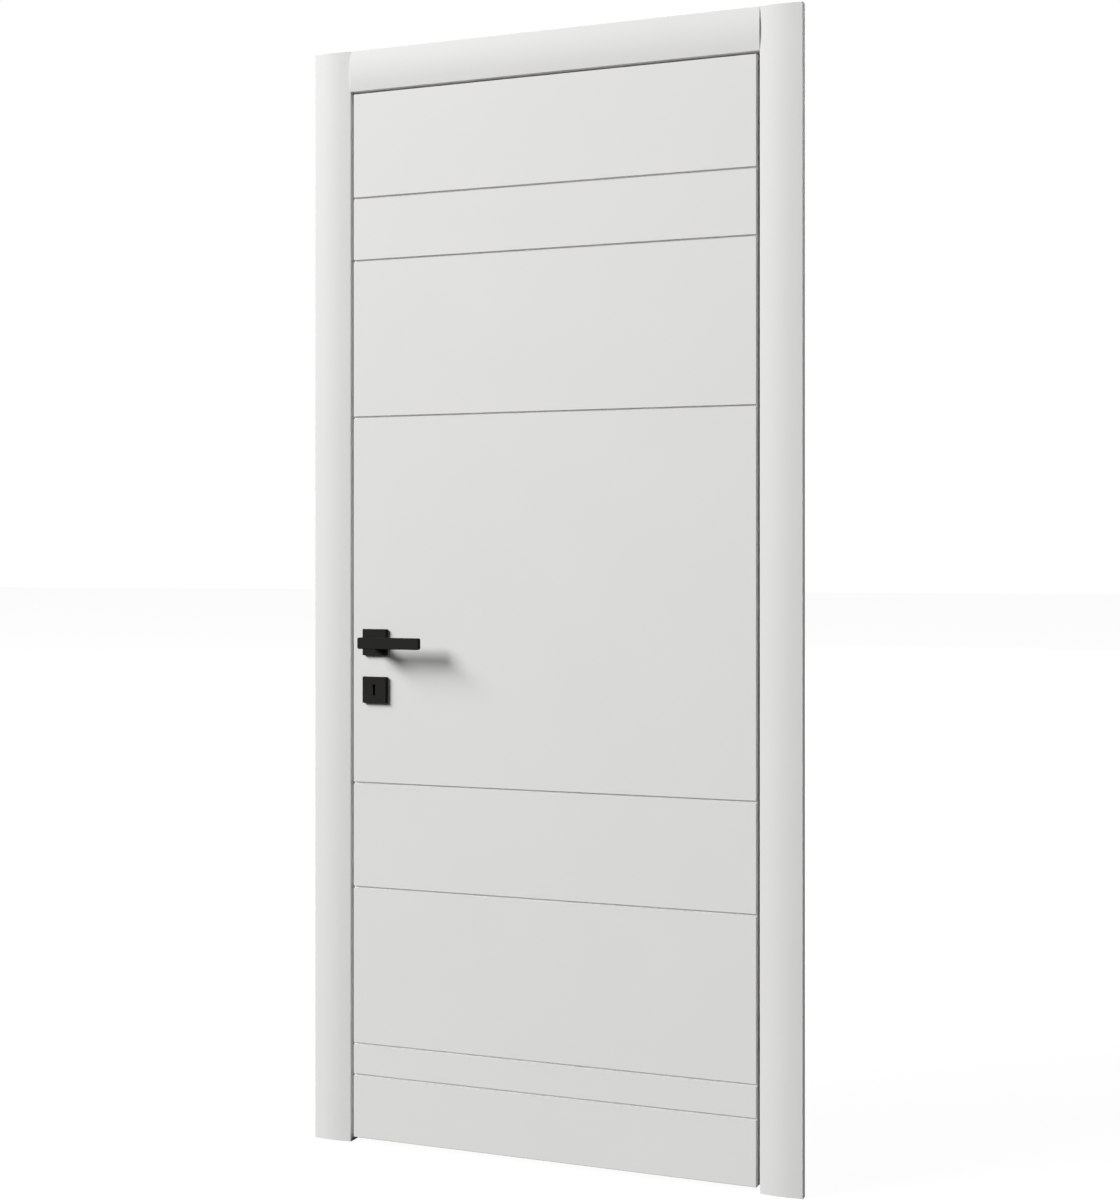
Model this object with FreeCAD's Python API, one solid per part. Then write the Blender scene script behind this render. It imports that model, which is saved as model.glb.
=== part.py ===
"""Interior door set: a hollow grooved leaf in a rebated frame, with front casings, two concealed
hinges, a mortice lock and a pair of lever handles on square roses.

Frame of the model, in millimetres: X to the right and Y into the wall as seen from the room that the
leaf opens into, Z up. The origin lies on the outer face of the hinge-side jamb, at floor level, in
the middle of the wall's thickness.
"""
import FreeCAD, Part
import math
import os

Vector = FreeCAD.Vector

# Leaf
leaf_width = 800.0
leaf_height = 2000.0
leaf_thickness = 44.0
skin_thickness = 6.0
leaf_edge_bevel = 0.8
lock_edge_lean = 1.5             # how far the lock edge leans back over the leaf's thickness
groove_width = 4.5
groove_floor_width = 4.0
groove_depth = 4.5
groove_rises = (120.0, 180.0, 480.0, 680.0)     # lower grooves, above the leaf's foot
groove_drops = (620.0, 320.0, 200.0)            # upper grooves, below the leaf's top
hinge_stile_width = 45.0
lock_stile_width = 40.0
top_rail_height = 50.0
bottom_rail_height = 80.0

# Gaps round the leaf
floor_gap = 10.0
side_gap = 6.0
top_gap = 5.0
seal_space = 4.0                 # between the leaf's back and the stop
seal_clearance = 0.3

# Frame
frame_depth = 100.0
jamb_thickness = 40.0
stop_projection = 15.0
stop_edge_radius = 1.5
seal_width = 7.0
seal_stem_width = 3.0
seal_stem_depth = 6.0
fixing_hole_radius = 3.0
hinge_side_fixings = (500.0, 1500.0)     # heights of the screw holes through the jamb
lock_side_fixings = (400.0, 1600.0)

# Casings
casing_width = 78.0
casing_thickness = 14.0
casing_crown = 2.5
casing_edge_radius = 1.0
tongue_thickness = 5.0
tongue_depth = 15.0

# Lever handles
backset = 48.0                   # from the leaf's lock edge to the spindle and the keyhole
handle_height = 960.0            # above the floor
keyhole_drop = 91.0              # from the spindle down to the keyhole
rose_side = 50.0
rose_thickness = 8.0
rose_edge_radius = 1.0
rose_bore_clearance = 0.1
lever_reach = 117.0              # from the spindle's axis to the tip
lever_heel = 11.0                # from the spindle's axis to the other end
lever_height = 21.5
lever_thickness = 9.0
lever_projection = 56.0          # from the leaf's face to the lever's front
lever_corner_radius = 3.5
lever_edge_bevel = 1.0
neck_radius = 9.5
neck_end_clearance = 0.5
spindle_side = 8.0
spindle_engagement = 30.0        # how far the spindle goes into each lever

# Keyholes
keyhole_head_radius = 3.6
keyhole_slot_width = 4.6
keyhole_height = 22.0

# Lock
lock_case_depth = 75.0
lock_case_thickness = 14.0
lock_case_wall = 1.5
lock_case_above_spindle = 45.0
lock_case_below_keyhole = 40.0
follower_radius = 10.0
follower_clearance = 0.1
lock_passage_radius = 12.0       # holes in the skins and the block for the spindle and the key
faceplate_width = 20.0
faceplate_thickness = 3.0
faceplate_corner = 9.5
faceplate_overlap = 30.0         # past the lock case, above and below
faceplate_setback = 1.1          # behind the leaf's front corner, so that it lies in the bevelled edge
latch_offset = 15.0              # the latch bolt's centre, above the spindle
latch_height = 24.0
latch_thickness = 10.0
deadbolt_offset = 35.0           # the deadbolt's centre, above the keyhole
deadbolt_height = 34.0
deadbolt_thickness = 8.0
bolt_length = 32.0
bolt_clearance = 0.3
lock_block_width = 66.0
lock_block_margin = 45.0         # past the lock case, above and below
strike_thickness = 3.0
strike_width = 20.0              # back from the front edge of the jamb
strike_pocket_depth = 15.0
strike_pocket_clearance = 1.0

# Concealed hinges
hinge_end_distance = 250.0       # from the leaf's foot and top to the middle of a hinge
hinge_body_height = 110.0
hinge_body_corner = 10.0         # radius of the routed ends
hinge_flange_depth = 12.0        # depth of the body's ends, which take the screws
hinge_body_wall = 1.5
hinge_screw_place = 37.0         # from the hinge's middle to each screw
hinge_pin_setback = 5.0          # from the jamb's or the leaf's edge face to the hinge pin
hinge_pin_depth = 30.0           # from the leaf's front face back to the hinge pins
hinge_pin_radius = 2.5
hinge_pin_clearance = 0.05
hinge_knuckle_radius = 4.5
hinge_arm_length = 40.0          # from the pin to the free end
hinge_arm_thickness = 6.0
hinge_arm_height = 16.8
hinge_arm_gap = 1.0              # from the hinge's middle plane to each arm
hinge_chamber_end_gap = 0.5      # past the arms, above and below
hinge_chamber_front = 13.0       # from the pins forward to the chamber's front wall
hinge_chamber_back = 6.0         # from the pins back to the chamber's back wall
hinge_chamber_end = 4.0          # past the free end of an arm

# Countersinks for the screws of the hinges, the faceplate and the strike plate
countersink_mouth = 3.6          # radii and depth
countersink_floor = 1.6
countersink_depth = 2.0
plate_screw_inset = 10.0         # from a plate's end to its screw

# Places across the door
hinge_reveal = -jamb_thickness
leaf_right = hinge_reveal - side_gap
leaf_left = leaf_right - leaf_width
lock_reveal = leaf_left - side_gap
lock_outer = lock_reveal - jamb_thickness
spindle_x = leaf_left + backset

# Places through the wall
wall_front = -frame_depth / 2
wall_back = frame_depth / 2
leaf_front = wall_front - casing_thickness
leaf_back = leaf_front + leaf_thickness
leaf_middle = (leaf_front + leaf_back) / 2
core_front = leaf_front + skin_thickness
core_back = leaf_back - skin_thickness
stop_face = leaf_back + seal_space

# Places up the door
leaf_foot = floor_gap
leaf_top = leaf_foot + leaf_height
head_reveal = leaf_top + top_gap
head_outer = head_reveal + jamb_thickness
casing_top = head_reveal + casing_width
keyhole_z = handle_height - keyhole_drop
lock_case_bottom = keyhole_z - lock_case_below_keyhole
lock_case_top = handle_height + lock_case_above_spindle
latch_z = handle_height + latch_offset
deadbolt_z = keyhole_z + deadbolt_offset
hinge_heights = {
    "lower": leaf_foot + hinge_end_distance,
    "upper": leaf_top - hinge_end_distance,
}


def block(x, y, z):
    """A rectangular solid between the two values given for each axis."""
    low = Vector(min(x), min(y), min(z))
    return Part.makeBox(max(x) - low.x, max(y) - low.y, max(z) - low.z, low)


def rod(radius, start, end):
    """A round bar from start to end."""
    along = end - start
    return Part.makeCylinder(radius, along.Length, start, along)


def rounded_block(x, y, z, radius):
    """A rectangular solid whose four edges along X are round."""
    section = rounded_rectangle(y, z, radius, lambda v, w: Vector(min(x), v, w))
    return section.extrude(Vector(max(x) - min(x), 0, 0))


def countersink(x, inwards, y, z):
    """The seat of a countersunk screw in a plate's face at x. inwards is +1 or -1 along X."""
    return Part.makeCone(countersink_mouth, countersink_floor, countersink_depth,
                         Vector(x, y, z), Vector(inwards, 0, 0))


def around(centre, size):
    """The two ends of a length that is centred on a value."""
    return (centre - size / 2, centre + size / 2)


def outline(*steps):
    """A closed flat face. Each step is a point, or a (middle, end) pair for an arc that leaves the last point."""
    edges = []
    here = steps[0]
    for step in steps[1:]:
        if isinstance(step, tuple):
            middle, end = step
            edges.append(Part.Arc(here, middle, end).toShape())
            here = end
        else:
            edges.append(Part.LineSegment(here, step).toShape())
            here = step
    if not here.isEqual(steps[0], 1e-6):
        edges.append(Part.LineSegment(here, steps[0]).toShape())
    return Part.Face(Part.Wire(edges))


def rounded_rectangle(u, v, radius, place):
    """A rectangle with round corners. place turns its two flat coordinates into a point."""
    u0, u1 = min(u), max(u)
    v0, v1 = min(v), max(v)
    near = radius * (1 - math.sqrt(0.5))
    return outline(
        place(u0 + radius, v0),
        place(u1 - radius, v0),
        (place(u1 - near, v0 + near), place(u1, v0 + radius)),
        place(u1, v1 - radius),
        (place(u1 - near, v1 - near), place(u1 - radius, v1)),
        place(u0 + radius, v1),
        (place(u0 + near, v1 - near), place(u0, v1 - radius)),
        place(u0, v0 + radius),
        (place(u0 + near, v0 + near), place(u0 + radius, v0)),
    )


# Frame: each member's section is drawn once, with "reach" measured from its outer face to the opening.
hinge_side = {"across": lambda reach, y: Vector(-reach, y, 0), "run": Vector(0, 0, 1)}
lock_side = {"across": lambda reach, y: Vector(lock_outer + reach, y, 0), "run": Vector(0, 0, 1)}
head_side = {"across": lambda reach, y: Vector(lock_reveal, y, head_outer - reach), "run": Vector(1, 0, 0)}


def frame_section(side):
    """The section of a jamb: rebate for the leaf, stop with its seal groove, rebate for the casing's tongue."""
    at = side["across"]
    inner = jamb_thickness + stop_projection
    near = stop_edge_radius * (1 - math.sqrt(0.5))
    stem = around(seal_middle(), seal_stem_width)
    return outline(
        at(0, wall_front + tongue_depth),
        at(tongue_thickness, wall_front + tongue_depth),
        at(tongue_thickness, wall_front),
        at(jamb_thickness, wall_front),
        at(jamb_thickness, stop_face),
        at(stem[0], stop_face),
        at(stem[0], stop_face + seal_stem_depth),
        at(stem[1], stop_face + seal_stem_depth),
        at(stem[1], stop_face),
        at(inner - stop_edge_radius, stop_face),
        (at(inner - near, stop_face + near), at(inner, stop_face + stop_edge_radius)),
        at(inner, wall_back - stop_edge_radius),
        (at(inner - near, wall_back - near), at(inner - stop_edge_radius, wall_back)),
        at(0, wall_back),
    )


def seal_middle():
    """Reach of the seal's middle: it lies on the stop, behind the leaf's edge."""
    return jamb_thickness + side_gap + (stop_projection - side_gap) / 2


def seal_section(side):
    """The section of a seal: a round-topped strip that the leaf closes on, with a stem in the stop's groove."""
    at = side["across"]
    low, high = around(seal_middle(), seal_width)
    stem = around(seal_middle(), seal_stem_width)
    crest = leaf_back + seal_clearance
    shoulder = (crest + 2 * stop_face) / 3
    return outline(
        at(low, stop_face),
        at(low, shoulder),
        (at(seal_middle(), crest), at(high, shoulder)),
        at(high, stop_face),
        at(stem[1], stop_face),
        at(stem[1], stop_face + seal_stem_depth),
        at(stem[0], stop_face + seal_stem_depth),
        at(stem[0], stop_face),
    )


def fixing_holes(x, heights):
    """Screw holes through a jamb, behind the casing's tongue and where the closed leaf hides them."""
    y = (wall_front + tongue_depth + stop_face) / 2
    return [rod(fixing_hole_radius, Vector(x[0], y, z), Vector(x[1], y, z)) for z in heights]


def side_jamb(side, outer, reveal, fixings):
    """A side jamb. Its stop ends under the head, which lies between the jambs."""
    jamb = frame_section(side).extrude(side["run"] * head_outer)
    stop_end = reveal + math.copysign(stop_projection, reveal - outer)
    jamb = jamb.cut(block((reveal, stop_end), (stop_face, wall_back), (head_reveal, head_outer)))
    return jamb.cut(fixing_holes((outer, reveal), fixings))


def hinge_body_form(edge, end, z):
    """The space that a hinge body takes up: a shallow part with round ends, and a deep part round the arms."""
    y = (hinge_pin_y() - hinge_chamber_front - hinge_body_wall,
         hinge_pin_y() + hinge_chamber_back + hinge_body_wall)
    inwards = math.copysign(1, end - edge)
    shallow = rounded_block((edge, edge + inwards * hinge_flange_depth), y,
                            around(z, hinge_body_height), hinge_body_corner)
    deep = block((edge, end), y, around(z, 2 * (hinge_chamber_reach() + hinge_body_wall)))
    return shallow.fuse(deep).removeSplitter()


def hinge_chamber_reach():
    """From a hinge's middle to the upper or the lower wall of its chamber."""
    return hinge_arm_gap + hinge_arm_height + hinge_chamber_end_gap


def make_jamb_hinge_side():
    jamb = side_jamb(hinge_side, 0.0, hinge_reveal, hinge_side_fixings)
    return jamb.cut([hinge_body_form(hinge_reveal, frame_chamber_end() + hinge_body_wall, z)
                     for z in hinge_heights.values()])


def make_jamb_lock_side():
    """The lock-side jamb, with the seat of the strike plate and a pocket behind each of its windows."""
    jamb = side_jamb(lock_side, lock_outer, lock_reveal, lock_side_fixings)
    jamb = jamb.cut(strike_seat())
    pocket_x = (lock_reveal - strike_thickness - strike_pocket_depth, lock_reveal)
    for z, height, thickness in strike_windows():
        jamb = jamb.cut(block(pocket_x, around(leaf_middle, thickness), around(z, height)))
    return jamb


def make_head_jamb():
    head = frame_section(head_side).extrude(head_side["run"] * (hinge_reveal - lock_reveal))
    stop_z = (head_reveal - stop_projection, head_reveal)
    for x in ((lock_reveal, lock_reveal + stop_projection), (hinge_reveal - stop_projection, hinge_reveal)):
        head = head.cut(block(x, (stop_face, wall_back), stop_z))
    return head


def make_side_seal(side):
    """A side seal, from the floor to the level of the head seal's upper edge."""
    top = head_outer - around(seal_middle(), seal_width)[0]
    return seal_section(side).extrude(side["run"] * top)


def make_seal_head():
    seal = seal_section(head_side).extrude(head_side["run"] * (hinge_reveal - lock_reveal))
    between = (lock_reveal + stop_projection, hinge_reveal - stop_projection)
    return seal.common(block(between, (wall_front, wall_back), (0, head_outer)))


# Casings: the section is drawn from the inner edge outwards, "rise" being the height over the wall.
def casing_section(place):
    """The section of a casing: a flat bow between two round edges, with a tongue that seats in the jamb."""
    radius = casing_edge_radius
    near = radius * (1 - math.sqrt(0.5))
    tongue = (jamb_thickness - tongue_thickness, jamb_thickness)
    return outline(
        place(0, 0),
        place(0, casing_thickness - radius),
        (place(near, casing_thickness - near), place(radius, casing_thickness)),
        (place(casing_width / 2, casing_thickness + casing_crown), place(casing_width - radius, casing_thickness)),
        (place(casing_width - near, casing_thickness - near), place(casing_width, casing_thickness - radius)),
        place(casing_width, 0),
        place(tongue[1], 0),
        place(tongue[1], -tongue_depth),
        place(tongue[0], -tongue_depth),
        place(tongue[0], 0),
    )


def side_casing(inner, outwards):
    """A side casing, full height. Its tongue is cut back above the frame."""
    section = casing_section(lambda reach, rise: Vector(inner + outwards * reach, wall_front - rise, 0))
    casing = section.extrude(Vector(0, 0, casing_top))
    return casing.cut(block((inner, inner + outwards * casing_width), (wall_front, wall_back),
                            (head_outer, casing_top)))


def make_casing_head():
    section = casing_section(lambda reach, rise: Vector(lock_reveal, wall_front - rise, head_reveal + reach))
    return section.extrude(Vector(hinge_reveal - lock_reveal, 0, 0))


# Leaf
def leaf_body():
    """The leaf's outer form: bevelled long edges, and a lock edge that leans back to clear the jamb."""
    bevel = leaf_edge_bevel
    lean = bevel * lock_edge_lean / leaf_thickness
    back_left = leaf_left + lock_edge_lean

    def at(x, y):
        return Vector(x, y, leaf_foot)

    section = outline(
        at(leaf_left + bevel, leaf_front),
        at(leaf_right - bevel, leaf_front),
        at(leaf_right, leaf_front + bevel),
        at(leaf_right, leaf_back - bevel),
        at(leaf_right - bevel, leaf_back),
        at(back_left + bevel, leaf_back),
        at(back_left - lean, leaf_back - bevel),
        at(leaf_left + lean, leaf_front + bevel),
    )
    return section.extrude(Vector(0, 0, leaf_height))


def leaf_skin(face, inwards):
    """A facing board with seven grooves that run out through both edges. inwards is +1 or -1 along Y."""
    bevel = leaf_edge_bevel
    inner = face + inwards * skin_thickness

    def at(depth, z):
        return Vector(leaf_left, face + inwards * depth, z)

    steps = [at(bevel, leaf_foot), at(0, leaf_foot + bevel)]
    for z in groove_levels():
        mouth = around(z, groove_width)
        floor = around(z, groove_floor_width)
        steps += [at(0, mouth[0]), at(groove_depth, floor[0]), at(groove_depth, floor[1]), at(0, mouth[1])]
    steps += [at(0, leaf_top - bevel), at(bevel, leaf_top)]
    steps += [at(skin_thickness, leaf_top), at(skin_thickness, leaf_foot)]
    board = outline(*steps).extrude(Vector(leaf_width, 0, 0)).common(leaf_body())
    return board.cut(lock_passages((face, inner)))


def groove_levels():
    """Heights of the grooves' bottoms above the floor, from the lowest up."""
    return [leaf_foot + rise for rise in groove_rises] + [leaf_top - drop for drop in groove_drops]


def lock_passages(y):
    """Round holes for the spindle and the key, through a layer of the leaf."""
    return [
        rod(lock_passage_radius, Vector(spindle_x, y[0], z), Vector(spindle_x, y[1], z))
        for z in (handle_height, keyhole_z)
    ]


def core_piece(x, z):
    """A piece of the leaf's inner framework, between the two skins."""
    return block(x, (core_front, core_back), z).common(leaf_body())


def lock_mortice():
    """The room for the lock case and its faceplate in the leaf's edge."""
    return [lock_case_box(), faceplate_box(leaf_left - side_gap)]


def make_leaf_lock_stile():
    stile = core_piece((leaf_left, leaf_left + lock_stile_width), (leaf_foot, leaf_top))
    return stile.cut(lock_mortice())


def make_leaf_hinge_stile():
    stile = core_piece((leaf_right - hinge_stile_width, leaf_right), (leaf_foot, leaf_top))
    return stile.cut([hinge_body_form(leaf_right, leaf_chamber_end() - hinge_body_wall, z)
                      for z in hinge_heights.values()])


def make_leaf_rail(z):
    return core_piece((leaf_left + lock_stile_width, leaf_right - hinge_stile_width), z)


def make_leaf_lock_block():
    x = (leaf_left + lock_stile_width, leaf_left + lock_stile_width + lock_block_width)
    z = (lock_case_bottom - lock_block_margin, lock_case_top + lock_block_margin)
    wood = core_piece(x, z).cut(lock_mortice())
    return wood.cut(lock_passages((core_front, core_back)))


# Lock
def lock_case_box():
    x = faceplate_back()
    return block((x, x + lock_case_depth), around(leaf_middle, lock_case_thickness),
                 (lock_case_bottom, lock_case_top))


def faceplate_back():
    return leaf_left + faceplate_setback + faceplate_thickness


def faceplate_box(outer_x):
    z = (lock_case_bottom - faceplate_overlap, lock_case_top + faceplate_overlap)
    return rounded_block((outer_x, faceplate_back()), around(leaf_middle, faceplate_width), z, faceplate_corner)


def bolts():
    """Centre height, height and thickness of the latch bolt and of the deadbolt."""
    return ((latch_z, latch_height, latch_thickness), (deadbolt_z, deadbolt_height, deadbolt_thickness))


def keyhole(y):
    """A keyhole cutter: a round head over a straight slot, centred on the keyhole's height."""
    top = keyhole_z + keyhole_height / 2
    bottom = keyhole_z - keyhole_height / 2
    head_z = top - keyhole_head_radius
    head = rod(keyhole_head_radius, Vector(spindle_x, y[0], head_z), Vector(spindle_x, y[1], head_z))
    radius = keyhole_slot_width / 2
    foot_z = bottom + radius
    foot = rod(radius, Vector(spindle_x, y[0], foot_z), Vector(spindle_x, y[1], foot_z))
    return head.fuse([foot, block(around(spindle_x, keyhole_slot_width), y, (foot_z, head_z))])


def make_lock_case():
    """A sheet-steel box, open towards the faceplate, with bearings for the follower and a keyhole."""
    case = lock_case_box()
    room_x = (faceplate_back(), faceplate_back() + lock_case_depth - lock_case_wall)
    room = block(room_x, around(leaf_middle, lock_case_thickness - 2 * lock_case_wall),
                 (lock_case_bottom + lock_case_wall, lock_case_top - lock_case_wall))
    sides = around(leaf_middle, lock_case_thickness)
    bearing = rod(follower_radius + follower_clearance,
                  Vector(spindle_x, sides[0], handle_height), Vector(spindle_x, sides[1], handle_height))
    return case.cut([room, bearing, keyhole(sides)])


def plate_screws(plate, x, inwards, y):
    """The seats of the two screws that hold a plate, near its ends."""
    ends = (plate.BoundBox.ZMin + plate_screw_inset, plate.BoundBox.ZMax - plate_screw_inset)
    return [countersink(x, inwards, y, z) for z in ends]


def make_lock_faceplate():
    face_x = faceplate_back() - faceplate_thickness
    plate = faceplate_box(face_x)
    plate = plate.cut(plate_screws(plate, face_x, 1, leaf_middle))
    for z, height, thickness in bolts():
        window_y = around(leaf_middle, thickness + 2 * bolt_clearance)
        window_z = around(z, height + 2 * bolt_clearance)
        plate = plate.cut(block((face_x, faceplate_back()), window_y, window_z))
    return plate


def lock_bolt(z, height, thickness):
    """A bolt drawn in, flush with the faceplate."""
    x = faceplate_back() - faceplate_thickness
    return block((x, x + bolt_length), around(leaf_middle, thickness), around(z, height))


def make_lock_follower():
    """The follower that the spindle turns in the lock case."""
    sides = around(leaf_middle, lock_case_thickness)
    wheel = rod(follower_radius, Vector(spindle_x, sides[0], handle_height),
                Vector(spindle_x, sides[1], handle_height))
    return wheel.cut(spindle_bar(sides))


def strike_windows():
    """The strike plate's windows: the bolts' size and a clearance all round."""
    room = 2 * strike_pocket_clearance
    return [(z, height + room, thickness + room) for z, height, thickness in bolts()]


def strike_seat():
    z = (deadbolt_z - deadbolt_height / 2 - faceplate_overlap, latch_z + latch_height / 2 + faceplate_overlap)
    y = (wall_front, wall_front + strike_width)
    return block((lock_reveal - strike_thickness, lock_reveal), y, z)


def make_strike_plate():
    plate = strike_seat()
    plate = plate.cut(plate_screws(plate, lock_reveal, -1, wall_front + strike_width / 2))
    for z, height, thickness in strike_windows():
        plate = plate.cut(block((lock_reveal - strike_thickness, lock_reveal),
                                around(leaf_middle, thickness), around(z, height)))
    return plate


# Handles: each is drawn for a face of the leaf, with outwards +1 or -1 along Y.
def edges_at(shape, y):
    """The edges that lie in the plane at y."""
    return [edge for edge in shape.Edges if max(abs(vertex.Y - y) for vertex in edge.Vertexes) < 0.01]


def square_cover(face, outwards, z):
    """A square cover plate on the leaf, with round edges along its front."""
    front = face + outwards * rose_thickness
    plate = block(around(spindle_x, rose_side), (face, front), around(z, rose_side))
    return plate.makeFillet(rose_edge_radius, edges_at(plate, front))


def make_rose(face, outwards):
    cover = square_cover(face, outwards, handle_height)
    return cover.cut(rod(neck_radius + rose_bore_clearance, Vector(spindle_x, face, handle_height),
                         Vector(spindle_x, face + outwards * rose_thickness, handle_height)))


def make_escutcheon(face, outwards):
    return square_cover(face, outwards, keyhole_z).cut(keyhole((face, face + outwards * rose_thickness)))


def spindle_bar(y):
    return block(around(spindle_x, spindle_side), y, around(handle_height, spindle_side))


def make_lever(face, outwards):
    """A straight flat bar on a round neck that turns in the rose, with a square socket for the spindle."""
    front = face + outwards * lever_projection
    back = front - outwards * lever_thickness
    bar = rounded_rectangle(
        (spindle_x - lever_heel, spindle_x + lever_reach), around(handle_height, lever_height),
        lever_corner_radius, lambda x, z: Vector(x, back, z),
    ).extrude(Vector(0, front - back, 0))
    bar = bar.makeChamfer(lever_edge_bevel, edges_at(bar, front))
    neck = rod(neck_radius, Vector(spindle_x, face + outwards * neck_end_clearance, handle_height),
               Vector(spindle_x, back, handle_height))
    socket = spindle_bar((face, face + outwards * spindle_engagement))
    return bar.fuse(neck).removeSplitter().cut(socket)


def make_spindle():
    return spindle_bar((leaf_front - spindle_engagement, leaf_back + spindle_engagement))


# Concealed hinges: the pins stand back in the jamb and in the leaf, and their arms cross the gap.
def hinge_pin_y():
    return leaf_front + hinge_pin_depth


def frame_pin_x():
    return hinge_reveal + hinge_pin_setback


def leaf_pin_x():
    return leaf_right - hinge_pin_setback


def frame_chamber_end():
    return leaf_pin_x() + hinge_arm_length + hinge_chamber_end


def leaf_chamber_end():
    return frame_pin_x() - hinge_arm_length - hinge_chamber_end


def hinge_body(edge, chamber_end, wall, pin_x, z, arm_side):
    """A hinge body with an open chamber. Its pin stands on the chamber's end on its own arm's side."""
    body = hinge_body_form(edge, chamber_end + wall, z)
    reach = hinge_chamber_reach()
    chamber_y = (hinge_pin_y() - hinge_chamber_front, hinge_pin_y() + hinge_chamber_back)
    body = body.cut(block((edge, chamber_end), chamber_y, (z - reach, z + reach)))
    pin = rod(hinge_pin_radius, Vector(pin_x, hinge_pin_y(), z + arm_side * reach),
              Vector(pin_x, hinge_pin_y(), z + arm_side * hinge_arm_gap))
    body = body.fuse(pin).removeSplitter()
    return body.cut([countersink(edge, math.copysign(1, wall), sum(chamber_y) / 2, screw_z)
                     for screw_z in around(z, 2 * hinge_screw_place)])


def make_hinge_frame_body(z):
    return hinge_body(hinge_reveal, frame_chamber_end(), hinge_body_wall, frame_pin_x(), z, 1)


def make_hinge_leaf_body(z):
    return hinge_body(leaf_right, leaf_chamber_end(), -hinge_body_wall, leaf_pin_x(), z, -1)


def hinge_arm(pin_x, direction, z, arm_side):
    """A flat link with a knuckle round the pin and a round free end. direction is +1 or -1 along X."""
    near_z = z + arm_side * hinge_arm_gap
    far_z = near_z + arm_side * hinge_arm_height
    half = hinge_arm_thickness / 2
    end_x = pin_x + direction * (hinge_arm_length - half)
    link = block((pin_x, end_x), around(hinge_pin_y(), hinge_arm_thickness), (near_z, far_z))
    tip = rod(half, Vector(end_x, hinge_pin_y(), near_z), Vector(end_x, hinge_pin_y(), far_z))
    knuckle = rod(hinge_knuckle_radius, Vector(pin_x, hinge_pin_y(), near_z), Vector(pin_x, hinge_pin_y(), far_z))
    bore = rod(hinge_pin_radius + hinge_pin_clearance, Vector(pin_x, hinge_pin_y(), near_z),
               Vector(pin_x, hinge_pin_y(), far_z))
    return link.fuse([tip, knuckle]).removeSplitter().cut(bore)


parts = {
    "jamb_lock_side": make_jamb_lock_side(),
    "jamb_hinge_side": make_jamb_hinge_side(),
    "head_jamb": make_head_jamb(),
    "casing_left": side_casing(lock_reveal, -1),
    "casing_right": side_casing(hinge_reveal, 1),
    "casing_head": make_casing_head(),
    "seal_lock_side": make_side_seal(lock_side),
    "seal_hinge_side": make_side_seal(hinge_side),
    "seal_head": make_seal_head(),
    "strike_plate": make_strike_plate(),
    "leaf_front_skin": leaf_skin(leaf_front, 1),
    "leaf_back_skin": leaf_skin(leaf_back, -1),
    "leaf_lock_stile": make_leaf_lock_stile(),
    "leaf_hinge_stile": make_leaf_hinge_stile(),
    "leaf_top_rail": make_leaf_rail((leaf_top - top_rail_height, leaf_top)),
    "leaf_bottom_rail": make_leaf_rail((leaf_foot, leaf_foot + bottom_rail_height)),
    "leaf_lock_block": make_leaf_lock_block(),
    "lock_case": make_lock_case(),
    "lock_faceplate": make_lock_faceplate(),
    "latch_bolt": lock_bolt(latch_z, latch_height, latch_thickness),
    "deadbolt": lock_bolt(deadbolt_z, deadbolt_height, deadbolt_thickness),
    "lock_follower": make_lock_follower(),
    "rose_outside": make_rose(leaf_front, -1),
    "rose_inside": make_rose(leaf_back, 1),
    "escutcheon_outside": make_escutcheon(leaf_front, -1),
    "escutcheon_inside": make_escutcheon(leaf_back, 1),
    "lever_outside": make_lever(leaf_front, -1),
    "lever_inside": make_lever(leaf_back, 1),
    "spindle": make_spindle(),
}
for place, height in hinge_heights.items():
    parts["hinge_frame_body_" + place] = make_hinge_frame_body(height)
    parts["hinge_leaf_body_" + place] = make_hinge_leaf_body(height)
    parts["hinge_frame_arm_" + place] = hinge_arm(frame_pin_x(), -1, height, 1)
    parts["hinge_leaf_arm_" + place] = hinge_arm(leaf_pin_x(), 1, height, -1)

os.makedirs("parts", exist_ok=True)
for name, shape in parts.items():
    shape.exportStep(f"parts/{name}.step")
    print(name, len(shape.Solids), shape.isValid(), round(shape.Volume / 1e6, 4))
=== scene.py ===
import bmesh
import bpy
import math
from mathutils import Matrix, Vector


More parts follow.
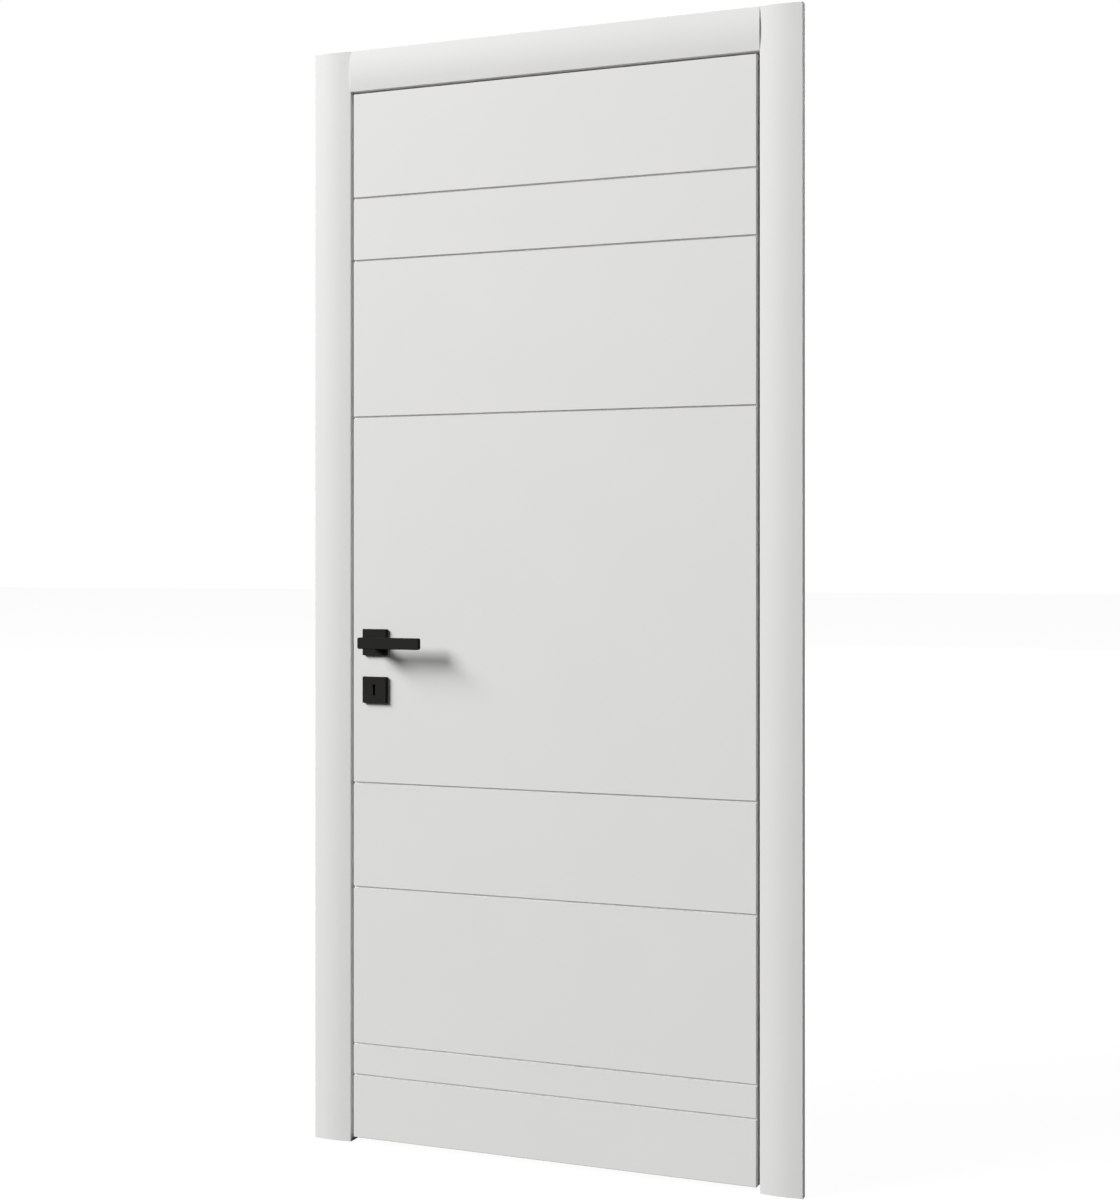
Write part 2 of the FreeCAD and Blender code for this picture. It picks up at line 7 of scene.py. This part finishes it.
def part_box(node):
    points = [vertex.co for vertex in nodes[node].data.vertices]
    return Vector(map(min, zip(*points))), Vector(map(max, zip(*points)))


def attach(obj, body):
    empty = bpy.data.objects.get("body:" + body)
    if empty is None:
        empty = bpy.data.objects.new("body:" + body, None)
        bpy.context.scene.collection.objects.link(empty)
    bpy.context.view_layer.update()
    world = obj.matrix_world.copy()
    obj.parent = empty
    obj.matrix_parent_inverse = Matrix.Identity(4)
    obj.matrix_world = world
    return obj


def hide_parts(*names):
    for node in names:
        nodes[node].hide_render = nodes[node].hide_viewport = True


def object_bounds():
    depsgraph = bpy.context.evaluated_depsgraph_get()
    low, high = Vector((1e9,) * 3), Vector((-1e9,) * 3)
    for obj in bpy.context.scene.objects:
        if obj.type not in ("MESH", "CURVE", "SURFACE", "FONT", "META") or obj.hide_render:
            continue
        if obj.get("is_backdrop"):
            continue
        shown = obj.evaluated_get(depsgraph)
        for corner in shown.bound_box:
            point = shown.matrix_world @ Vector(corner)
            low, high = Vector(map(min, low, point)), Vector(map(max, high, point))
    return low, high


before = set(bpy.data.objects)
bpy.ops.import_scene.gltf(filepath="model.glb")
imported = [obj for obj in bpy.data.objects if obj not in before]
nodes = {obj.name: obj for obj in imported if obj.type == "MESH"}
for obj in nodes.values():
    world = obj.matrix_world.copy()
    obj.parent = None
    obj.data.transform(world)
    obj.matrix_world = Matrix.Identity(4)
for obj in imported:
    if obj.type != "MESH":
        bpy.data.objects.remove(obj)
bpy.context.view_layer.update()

MM = 0.001

# Camera: level, a little right of the door and turned towards it, as the photograph was taken.
LEAF_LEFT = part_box("leaf_front_skin")[0][0]
LEAF_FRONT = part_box("leaf_front_skin")[0][1]
CAMERA_RIGHT_OF_LEAF_EDGE = 1.7384
CAMERA_DISTANCE = 3.268
CAMERA_HEIGHT = 1.118
CAMERA_TURN = math.radians(21.87)
FOCAL_MM = 57.54
SENSOR_MM = 36.0
HORIZON_PX = 559.4
PHOTO_HEIGHT_PX = 1200.0

camera_data = bpy.data.cameras.new("camera")
camera_data.lens = FOCAL_MM
camera_data.sensor_width = SENSOR_MM
camera_data.shift_y = (HORIZON_PX - PHOTO_HEIGHT_PX / 2) / PHOTO_HEIGHT_PX
camera = bpy.data.objects.new("camera", camera_data)
camera.location = (LEAF_LEFT + CAMERA_RIGHT_OF_LEAF_EDGE, LEAF_FRONT - CAMERA_DISTANCE, CAMERA_HEIGHT)
camera.rotation_euler = (math.radians(90), 0, CAMERA_TURN)
bpy.context.scene.collection.objects.link(camera)
bpy.context.scene.camera = camera

# The frame: two side jambs and a head, planed from MDF board and sprayed with satin white lacquer.
# The faces towards the wall and the sawn feet stay bare board, which shows brown and felted.
LACQUER_WHITE = "#E9E9E7"
LACQUER_SHADE = "#E6E6E4"
LACQUER_ROUGHNESS = (0.54, 0.62)
ORANGE_PEEL_MM = 2.6
ORANGE_PEEL_BUMP = 0.12
ORANGE_PEEL_HEIGHT = 0.02 * MM
SPRAY_CLOUD_MM = 180.0
BOARD_LIGHT = "#C2A57E"
BOARD_DARK = "#A88B66"
BOARD_ROUGHNESS = 0.85
BOARD_FIBRE_MM = 1.2
BOARD_FIBRE_BUMP = 0.4
BOARD_FIBRE_HEIGHT = 0.1 * MM
BOARD_CLOUD_MM = 40.0
FACES_THAT_WAY = 0.9
RIGHT, LEFT, UP, DOWN, BACK = (1, 0, 0), (-1, 0, 0), (0, 0, 1), (0, 0, -1), (0, 1, 0)


def linear(hex_colour):
    """An sRGB hex colour as linear red, green, blue and alpha."""
    values = [int(hex_colour[i:i + 2], 16) / 255 for i in (1, 3, 5)]
    return [v / 12.92 if v <= 0.04045 else ((v + 0.055) / 1.055) ** 2.4 for v in values] + [1.0]


def add_node(tree, kind, inputs=None, **settings):
    """Adds a node. Its inputs are given by name, each as a value or as the socket that feeds it."""
    node = tree.nodes.new(kind)
    for setting, value in settings.items():
        setattr(node, setting, value)
    for socket, value in (inputs or {}).items():
        if isinstance(value, bpy.types.NodeSocket):
            tree.links.new(value, node.inputs[socket])
        else:
            node.inputs[socket].default_value = value
    return node


def new_material(name):
    """An empty node material with its output, as (material, tree, output)."""
    material = bpy.data.materials.new(name)
    material.use_nodes = True
    material.node_tree.nodes.clear()
    return material, material.node_tree, add_node(material.node_tree, "ShaderNodeOutputMaterial")


def fine_noise(tree, place, grain_mm, detail=2.0):
    """A noise whose grains are about the given size."""
    return add_node(tree, "ShaderNodeTexNoise", {
        "Vector": place, "Scale": 1 / (grain_mm * MM), "Detail": detail}).outputs["Fac"]


def between(tree, factor, first, second):
    """A colour between two hex colours."""
    return add_node(tree, "ShaderNodeMix", {
        "Factor": factor, "A": linear(first), "B": linear(second)}, data_type="RGBA").outputs["Result"]


def between_values(tree, factor, lowest, highest):
    """A number between two numbers."""
    return add_node(tree, "ShaderNodeMapRange", {
        "Value": factor, "To Min": lowest, "To Max": highest}).outputs["Result"]


def raised(tree, height, strength, distance):
    """The normal of a surface that a height raises by the given distance."""
    return add_node(tree, "ShaderNodeBump", {
        "Height": height, "Strength": strength, "Distance": distance}).outputs["Normal"]


def sprayed_lacquer(name, bare_sides=()):
    """Satin lacquer: an even white with slow clouds and a fine orange peel. bare_sides are directions
    whose faces were never sprayed and show the board."""
    material, tree, output = new_material(name)
    place = add_node(tree, "ShaderNodeTexCoord").outputs["Object"]
    peel = fine_noise(tree, place, ORANGE_PEEL_MM, detail=1.0)
    clouds = fine_noise(tree, place, SPRAY_CLOUD_MM)
    surface = add_node(tree, "ShaderNodeBsdfPrincipled", {
        "Base Color": between(tree, clouds, LACQUER_WHITE, LACQUER_SHADE),
        "Roughness": between_values(tree, peel, *LACQUER_ROUGHNESS),
        "Normal": raised(tree, peel, ORANGE_PEEL_BUMP, ORANGE_PEEL_HEIGHT)}).outputs["BSDF"]
    if bare_sides:
        fibre = fine_noise(tree, place, BOARD_FIBRE_MM, detail=4.0)
        mottle = add_node(tree, "ShaderNodeMath", {
            0: fibre, 1: fine_noise(tree, place, BOARD_CLOUD_MM)}, operation="MULTIPLY")
        board = add_node(tree, "ShaderNodeBsdfPrincipled", {
            "Base Color": between(tree, mottle.outputs[0], BOARD_DARK, BOARD_LIGHT),
            "Roughness": BOARD_ROUGHNESS,
            "Normal": raised(tree, fibre, BOARD_FIBRE_BUMP, BOARD_FIBRE_HEIGHT)})
        normal = add_node(tree, "ShaderNodeTexCoord").outputs["Normal"]
        bare = None
        for side in bare_sides:
            lean = add_node(tree, "ShaderNodeVectorMath", {0: normal, 1: side}, operation="DOT_PRODUCT")
            faces = add_node(tree, "ShaderNodeMath", {0: lean.outputs["Value"], 1: FACES_THAT_WAY},
                             operation="GREATER_THAN").outputs[0]
            bare = faces if bare is None else add_node(
                tree, "ShaderNodeMath", {0: bare, 1: faces}, operation="MAXIMUM").outputs[0]
        surface = add_node(tree, "ShaderNodeMixShader", {
            0: bare, 1: surface, 2: board.outputs["BSDF"]}).outputs["Shader"]
    tree.links.new(surface, output.inputs["Surface"])
    return material


def finish_node(material, *names):
    """Gives CAD nodes their material."""
    for name in names:
        nodes[name].data.materials.clear()
        nodes[name].data.materials.append(material)


finish_node(sprayed_lacquer("lacquered_hinge_jamb", (RIGHT, UP, DOWN)), "jamb_hinge_side")
finish_node(sprayed_lacquer("lacquered_lock_jamb", (LEFT, UP, DOWN)), "jamb_lock_side")
finish_node(sprayed_lacquer("lacquered_head_jamb", (UP,)), "head_jamb")

# The casings: bowed MDF mouldings round the front of the frame. The two upright ones run past the
# head one, and each has a tongue that is pushed into a groove of the frame. Their backs and the
# sawn feet of the upright ones are bare.
finish_node(sprayed_lacquer("lacquered_side_casing", (BACK, DOWN)), "casing_left", "casing_right")
finish_node(sprayed_lacquer("lacquered_head_casing", (BACK,)), "casing_head")

# The seals: hollow strips of soft white elastomer, pushed into a groove of the stop by a stem.
# The leaf's back closes on their round wall, which is thin and slightly translucent.
SEAL_BULB_RADIUS = 2.9 * MM
SEAL_WALL = 0.7 * MM
SEAL_FLANGE = 0.8 * MM
SEAL_STEM_HALF = 1.45 * MM
SEAL_ARC_STEPS = 14
SEAL_WHITE = "#DEDEDA"
SEAL_SHADE = "#D6D6D1"
SEAL_ROUGHNESS = 0.62
SEAL_TRANSLUCENCE = 0.15
SEAL_LIGHT_DEPTH = 0.5 * MM
SEAL_GRAIN_MM = 0.5
SEAL_GRAIN_BUMP = 0.25
SEAL_GRAIN_HEIGHT = 0.03 * MM
SEAL_CLOUD_MM = 25.0

seal_material, seal_tree, seal_output = new_material("soft_white_elastomer")
seal_place = add_node(seal_tree, "ShaderNodeTexCoord").outputs["Object"]
seal_grain = fine_noise(seal_tree, seal_place, SEAL_GRAIN_MM)
seal_clouds = fine_noise(seal_tree, seal_place, SEAL_CLOUD_MM)
seal_skin = add_node(seal_tree, "ShaderNodeBsdfPrincipled", {
    "Base Color": between(seal_tree, seal_clouds, SEAL_WHITE, SEAL_SHADE),
    "Roughness": SEAL_ROUGHNESS, "Subsurface Weight": SEAL_TRANSLUCENCE,
    "Subsurface Scale": SEAL_LIGHT_DEPTH,
    "Normal": raised(seal_tree, seal_grain, SEAL_GRAIN_BUMP, SEAL_GRAIN_HEIGHT)})
seal_tree.links.new(seal_skin.outputs["BSDF"], seal_output.inputs["Surface"])


def only(kind, parts):
    """The vertices or the edges among what a mesh operator returned."""
    return [part for part in parts if isinstance(part, kind)]


def add_piece(name, form, material, body, slot, *replaced):
    """Links a finished bmesh as a piece of the object that rides on a body."""
    mesh = bpy.data.meshes.new(name)
    form.to_mesh(mesh)
    form.free()
    mesh.materials.append(material)
    piece = bpy.data.objects.new(name, mesh)
    bpy.context.scene.collection.objects.link(piece)
    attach(piece, body)
    if replaced:
        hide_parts(*replaced)


def seal_strip(node, across, run):
    """A seal in its CAD node's place. across and run are the axes of its width and its length."""
    low, high = (Vector(corner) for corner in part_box(node))
    length = (high - low).dot(run)
    form = bmesh.new()
    start = form.verts.new((-SEAL_BULB_RADIUS, SEAL_FLANGE, 0))
    bmesh.ops.spin(form, geom=[start], cent=(0, SEAL_FLANGE, 0), axis=(0, 0, 1),
                   angle=-math.pi, steps=SEAL_ARC_STEPS)
    wall = bmesh.ops.extrude_edge_only(form, edges=form.edges[:])
    bmesh.ops.translate(form, vec=(0, 0, length),
                        verts=only(bmesh.types.BMVert, wall["geom"]))
    bmesh.ops.recalc_face_normals(form, faces=form.faces[:])
    bmesh.ops.solidify(form, geom=form.faces[:], thickness=SEAL_WALL)
    half_width = (high - low).dot(across) / 2
    stem_depth = high.y - low.y - SEAL_FLANGE - SEAL_BULB_RADIUS
    for half, near, far in ((half_width, 0.0, SEAL_FLANGE), (SEAL_STEM_HALF, -stem_depth, 0.0)):
        bar = bmesh.ops.create_cube(form, size=1.0)["verts"]
        bmesh.ops.scale(form, vec=(2 * half, far - near, length), verts=bar)
        bmesh.ops.translate(form, vec=(0, (near + far) / 2, length / 2), verts=bar)
    middle = (low + high) / 2
    origin = middle - run * length / 2
    origin.y = low.y + SEAL_FLANGE + SEAL_BULB_RADIUS
    axes = Matrix((across, (0, -1, 0), run)).transposed().to_4x4()
    bmesh.ops.transform(form, matrix=Matrix.Translation(origin) @ axes, verts=form.verts[:])
    bmesh.ops.recalc_face_normals(form, faces=form.faces[:])
    add_piece(node + "_strip", form, seal_material, "frame", "seal_rubber", node)


seal_strip("seal_lock_side", Vector(RIGHT), Vector(UP))
seal_strip("seal_hinge_side", Vector(RIGHT), Vector(UP))
seal_strip("seal_head", Vector(UP), Vector(RIGHT))

# The leaf: two grooved MDF skins on a framework of stiles and rails, sprayed as one. The foot of the
# framework was sawn after spraying and is bare.
finish_node(sprayed_lacquer("lacquered_leaf_skin"), "leaf_front_skin", "leaf_back_skin")
finish_node(sprayed_lacquer("lacquered_leaf_edge", (DOWN,)), "leaf_lock_stile", "leaf_hinge_stile",
            "leaf_top_rail", "leaf_bottom_rail", "leaf_lock_block")

# The lever handles and the square covers of the spindle and the keyhole: zinc castings with a matt
# black powder coat, which has a very fine grain and almost no shine.
POWDER_BLACK = "#2B2B2A"
POWDER_PALE = "#2F2F2E"
POWDER_ROUGHNESS = 0.8
POWDER_GRAIN_MM = 0.35
POWDER_GRAIN_BUMP = 0.3
POWDER_GRAIN_HEIGHT = 0.03 * MM
POWDER_CLOUD_MM = 30.0

black_powder, powder_tree, powder_output = new_material("matt_black_powder_coat")
powder_place = add_node(powder_tree, "ShaderNodeTexCoord").outputs["Object"]
powder_grain = fine_noise(powder_tree, powder_place, POWDER_GRAIN_MM)
powder_clouds = fine_noise(powder_tree, powder_place, POWDER_CLOUD_MM)
powder_coat = add_node(powder_tree, "ShaderNodeBsdfPrincipled", {
    "Base Color": between(powder_tree, powder_clouds, POWDER_BLACK, POWDER_PALE),
    "Roughness": POWDER_ROUGHNESS, "Specular IOR Level": 0.0,
    "Normal": raised(powder_tree, powder_grain, POWDER_GRAIN_BUMP, POWDER_GRAIN_HEIGHT)})
powder_tree.links.new(powder_coat.outputs["BSDF"], powder_output.inputs["Surface"])
finish_node(black_powder, "rose_outside", "rose_inside", "escutcheon_outside", "escutcheon_inside",
            "lever_outside", "lever_inside")

# The lock's faceplate, its two bolts and the strike plate: stainless steel, brushed along its length.
# Each plate is held by two countersunk screws with cross slots.
STEEL_LIGHT = "#C4C3BF"
STEEL_DARK = "#B0AFAB"
STEEL_ROUGHNESS = 0.36
BRUSH_WIDTH_MM = 0.5
BRUSH_LENGTH_MM = 40.0
BRUSH_BUMP = 0.2
BRUSH_HEIGHT = 0.02 * MM
BRUSH_ROUGHNESS_SPREAD = 0.06


def brushed_metal(name, light, dark, roughness):
    """Metal with fine brush lines along Z, drawn a little coarser than real, so that they show."""
    material, tree, output = new_material(name)
    place = add_node(tree, "ShaderNodeTexCoord").outputs["Object"]
    stretched = add_node(tree, "ShaderNodeMapping", {
        "Vector": place, "Scale": (1.0, 1.0, BRUSH_WIDTH_MM / BRUSH_LENGTH_MM)}).outputs["Vector"]
    lines = fine_noise(tree, stretched, BRUSH_WIDTH_MM)
    metal = add_node(tree, "ShaderNodeBsdfPrincipled", {
        "Base Color": between(tree, lines, light, dark), "Metallic": 1.0,
        "Roughness": between_values(
            tree, lines, roughness - BRUSH_ROUGHNESS_SPREAD, roughness + BRUSH_ROUGHNESS_SPREAD),
        "Normal": raised(tree, lines, BRUSH_BUMP, BRUSH_HEIGHT)})
    tree.links.new(metal.outputs["BSDF"], output.inputs["Surface"])
    return material


plate_steel = brushed_metal("brushed_stainless_steel", STEEL_LIGHT, STEEL_DARK, STEEL_ROUGHNESS)
finish_node(plate_steel, "strike_plate", "lock_faceplate", "latch_bolt", "deadbolt")

SCREW_HEAD_RADIUS = 3.5 * MM
SCREW_FOOT_RADIUS = 1.5 * MM
SCREW_HEAD_DEPTH = 1.8 * MM
SCREW_SUNK = 0.1 * MM
SCREW_SLOT_HALF = 1.9 * MM
SCREW_SLOT_DEPTH = 1.2 * MM
SCREW_SIDES = 32
SCREW_FIRST_TURN = math.radians(17)
SCREW_NEXT_TURN = math.radians(61)
SCREW_LIGHT = "#BEBDBA"
SCREW_DARK = "#A5A4A0"
SCREW_ROUGHNESS = 0.3
PLATE_SCREW_INSET = 10.0 * MM
SAME_PLACE = 1e-6

screw_steel = brushed_metal("turned_screw_steel", SCREW_LIGHT, SCREW_DARK, SCREW_ROUGHNESS)


def countersunk_screw(form, place, outwards, turn):
    """Adds a countersunk screw head with a cross slot. outwards is the direction that its top faces."""
    cross = bmesh.ops.create_grid(form, x_segments=3, y_segments=3, size=SCREW_SLOT_HALF)["verts"]
    corners = [v for v in cross if abs(abs(v.co.x) - SCREW_SLOT_HALF) < SAME_PLACE
               and abs(abs(v.co.y) - SCREW_SLOT_HALF) < SAME_PLACE]
    bmesh.ops.delete(form, geom=corners, context="VERTS")
    cross = [v for v in cross if v.is_valid]
    slot_faces = list({f for v in cross for f in v.link_faces})
    slot_rim = [e for e in {e for f in slot_faces for e in f.edges} if len(e.link_faces) == 1]
    rim = bmesh.ops.create_circle(
        form, cap_ends=False, segments=SCREW_SIDES, radius=SCREW_HEAD_RADIUS)["verts"]
    rim_edges = list({e for v in rim for e in v.link_edges})
    bmesh.ops.triangle_fill(form, edges=slot_rim + rim_edges, use_beauty=True)
    slot_floor = only(bmesh.types.BMVert, bmesh.ops.extrude_face_region(form, geom=slot_faces)["geom"])
    bmesh.ops.translate(form, vec=(0, 0, -SCREW_SLOT_DEPTH), verts=slot_floor)
    bmesh.ops.delete(form, geom=slot_faces, context="FACES")
    cone = bmesh.ops.extrude_edge_only(form, edges=rim_edges)["geom"]
    foot = only(bmesh.types.BMVert, cone)
    shrink = SCREW_FOOT_RADIUS / SCREW_HEAD_RADIUS
    bmesh.ops.scale(form, vec=(shrink, shrink, 1), verts=foot)
    bmesh.ops.translate(form, vec=(0, 0, -SCREW_HEAD_DEPTH), verts=foot)
    foot_rim = [e for e in only(bmesh.types.BMEdge, cone) if len(e.link_faces) == 1]
    bmesh.ops.contextual_create(form, geom=foot_rim)
    screw = list({v for v in cross + rim + slot_floor + foot if v.is_valid})
    facing = Vector(outwards).to_track_quat("Z", "Y").to_matrix().to_4x4()
    seat = Matrix.Translation(place - Vector(outwards) * SCREW_SUNK)
    bmesh.ops.transform(form, matrix=seat @ facing @ Matrix.Rotation(turn, 4, "Z"), verts=screw)


def screw_set(name, places, outwards, body, slot):
    """A group of screws as one piece, each stopped at its own turn."""
    form = bmesh.new()
    for count, place in enumerate(places):
        countersunk_screw(form, Vector(place), outwards, SCREW_FIRST_TURN + SCREW_NEXT_TURN * count)
    bmesh.ops.recalc_face_normals(form, faces=form.faces[:])
    add_piece(name, form, screw_steel, body, slot)


def plate_screw_places(node, face_x):
    """Near both ends of a plate, on its middle line."""
    low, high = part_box(node)
    y = (low[1] + high[1]) / 2
    return [(face_x, y, low[2] + PLATE_SCREW_INSET), (face_x, y, high[2] - PLATE_SCREW_INSET)]


screw_set("lock_faceplate_screws", plate_screw_places("lock_faceplate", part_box("lock_faceplate")[0][0]),
          LEFT, "leaf", "lock_steel")
screw_set("strike_plate_screws", plate_screw_places("strike_plate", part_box("strike_plate")[1][0]),
          RIGHT, "frame", "lock_steel")

# The lock case, its follower and the spindle: pressed and drawn steel with a bluish zinc plating.
# They lie inside the leaf and show only through the keyholes.
ZINC_LIGHT = "#A9ADB2"
ZINC_DARK = "#93979D"
ZINC_ROUGHNESS = 0.42

zinc_plate = brushed_metal("zinc_plated_steel", ZINC_LIGHT, ZINC_DARK, ZINC_ROUGHNESS)
finish_node(zinc_plate, "lock_case", "lock_follower", "spindle")

# The concealed hinges: zinc castings with a satin chrome finish, let into the jamb and the leaf's
# edge. Each is held by two countersunk screws, and steel arms cross from one body to the other.
HINGE_SCREW_PLACE = 37.0 * MM
CHROME_LIGHT = "#CACAC8"
CHROME_DARK = "#BEBEBC"
CHROME_ROUGHNESS = (0.3, 0.42)
CHROME_CLOUD_MM = 20.0
CAST_GRAIN_MM = 0.6
CAST_GRAIN_BUMP = 0.2
CAST_GRAIN_HEIGHT = 0.03 * MM
ARM_LIGHT = "#A8A8A6"
ARM_DARK = "#939391"
ARM_ROUGHNESS = 0.33

hinge_chrome, chrome_tree, chrome_output = new_material("satin_chrome_on_cast_zinc")
chrome_place = add_node(chrome_tree, "ShaderNodeTexCoord").outputs["Object"]
cast_grain = fine_noise(chrome_tree, chrome_place, CAST_GRAIN_MM, detail=3.0)
chrome_clouds = fine_noise(chrome_tree, chrome_place, CHROME_CLOUD_MM)
chrome_skin = add_node(chrome_tree, "ShaderNodeBsdfPrincipled", {
    "Base Color": between(chrome_tree, chrome_clouds, CHROME_LIGHT, CHROME_DARK), "Metallic": 1.0,
    "Roughness": between_values(chrome_tree, cast_grain, *CHROME_ROUGHNESS),
    "Normal": raised(chrome_tree, cast_grain, CAST_GRAIN_BUMP, CAST_GRAIN_HEIGHT)})
chrome_tree.links.new(chrome_skin.outputs["BSDF"], chrome_output.inputs["Surface"])

arm_steel = brushed_metal("ground_arm_steel", ARM_LIGHT, ARM_DARK, ARM_ROUGHNESS)

for level in ("lower", "upper"):
    finish_node(hinge_chrome, "hinge_frame_body_" + level, "hinge_leaf_body_" + level)
    finish_node(arm_steel, "hinge_frame_arm_" + level, "hinge_leaf_arm_" + level)
    for body, side, outwards in (("frame", 0, LEFT), ("leaf", 1, RIGHT)):
        node = f"hinge_{body}_body_{level}"
        low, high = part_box(node)
        face_x = (low, high)[side][0]
        middle_y = (low[1] + high[1]) / 2
        middle_z = (low[2] + high[2]) / 2
        places = [(face_x, middle_y, middle_z - HINGE_SCREW_PLACE),
                  (face_x, middle_y, middle_z + HINGE_SCREW_PLACE)]
        screw_set(f"hinge_{body}_screws_{level}", places, outwards, body, "hinge_metal")

# Studio: a floor that the camera sees as white with a faint shadow, while the object gets only
# the light of a grey one.
PURE_WHITE = "#FFFFFF"
FLOOR_SIDE = 120.0
FLOOR_WHITE = "#E6E6E6"
FLOOR_GREY = "#5A5A5A"
FLOOR_GLOW_SHARE = 0.93
FLOOR_GLOW = 1.03

floor_form = bmesh.new()
bmesh.ops.create_grid(floor_form, x_segments=1, y_segments=1, size=FLOOR_SIDE / 2)
floor_mesh = bpy.data.meshes.new("floor")
floor_form.to_mesh(floor_mesh)
floor_form.free()
floor = bpy.data.objects.new("floor", floor_mesh)
bpy.context.scene.collection.objects.link(floor)
floor_paint, floor_tree, floor_output = new_material("pale_studio_floor")
floor_rays = add_node(floor_tree, "ShaderNodeLightPath")
floor_seen = add_node(floor_tree, "ShaderNodeMath", {
    0: floor_rays.outputs["Is Camera Ray"], 1: FLOOR_GLOW_SHARE}, operation="MULTIPLY")
floor_matt = add_node(floor_tree, "ShaderNodeBsdfDiffuse", {
    "Color": between(floor_tree, floor_rays.outputs["Is Camera Ray"], FLOOR_GREY, FLOOR_WHITE)})
floor_glow = add_node(floor_tree, "ShaderNodeEmission", {
    "Color": linear(PURE_WHITE), "Strength": FLOOR_GLOW})
floor_surface = add_node(floor_tree, "ShaderNodeMixShader", {
    0: floor_seen.outputs[0], 1: floor_matt.outputs["BSDF"], 2: floor_glow.outputs["Emission"]})
floor_tree.links.new(floor_surface.outputs["Shader"], floor_output.inputs["Surface"])
floor_mesh.materials.append(floor_paint)
floor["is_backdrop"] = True

# Four square softboxes. The lever's soft double shadow in the photograph gives the directions of the
# strong key and of the weaker, higher lamp to its side. Two weak ones fill in from the right and
# from behind.
LEVER_FROM_LEAF_EDGE = 0.05
LEVER_HEIGHT = 0.96


def add_lamp(name, towards, distance, side, power):
    """A lamp of the given side in metres and power in watts. It shines at the lever from the
    direction that towards gives, at a distance in metres."""
    data = bpy.data.lights.new(name, "AREA")
    data.shape = "SQUARE"
    data.size = side
    data.energy = power
    lamp = bpy.data.objects.new(name, data)
    aim = Vector((LEAF_LEFT + LEVER_FROM_LEAF_EDGE, LEAF_FRONT, LEVER_HEIGHT))
    lamp.location = aim + Vector(towards).normalized() * distance
    lamp.rotation_euler = Vector(towards).to_track_quat("Z", "Y").to_euler()
    bpy.context.scene.collection.objects.link(lamp)


add_lamp("key_softbox", (-0.90, -1.00, 0.68), 45.0, 15.8, 19700.0)
add_lamp("side_softbox", (-1.67, -1.00, 1.28), 66.0, 16.5, 16700.0)
add_lamp("right_fill", (0.90, 0.25, 0.30), 20.0, 6.0, 700.0)
add_lamp("back_fill", (0.00, 0.90, 0.35), 20.0, 6.0, 2300.0)

# The sky is white to the camera, dim as a light, and between the two where metal mirrors it.
SKY_STRENGTH = 0.05
MIRRORED_SKY_STRENGTH = 0.35
world = bpy.data.worlds.new("studio")
world.use_nodes = True
world.node_tree.nodes.clear()
sky_rays = add_node(world.node_tree, "ShaderNodeLightPath")
sky_light = between_values(
    world.node_tree, sky_rays.outputs["Is Glossy Ray"], SKY_STRENGTH, MIRRORED_SKY_STRENGTH)
sky_level = add_node(world.node_tree, "ShaderNodeMath", {
    0: sky_light, 1: sky_rays.outputs["Is Camera Ray"]}, operation="MAXIMUM")
sky = add_node(world.node_tree, "ShaderNodeBackground", {
    "Color": linear(PURE_WHITE), "Strength": sky_level.outputs[0]})
add_node(world.node_tree, "ShaderNodeOutputWorld", {"Surface": sky.outputs["Background"]})
bpy.context.scene.world = world

bpy.context.scene.view_settings.view_transform = "Standard"

low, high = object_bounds()
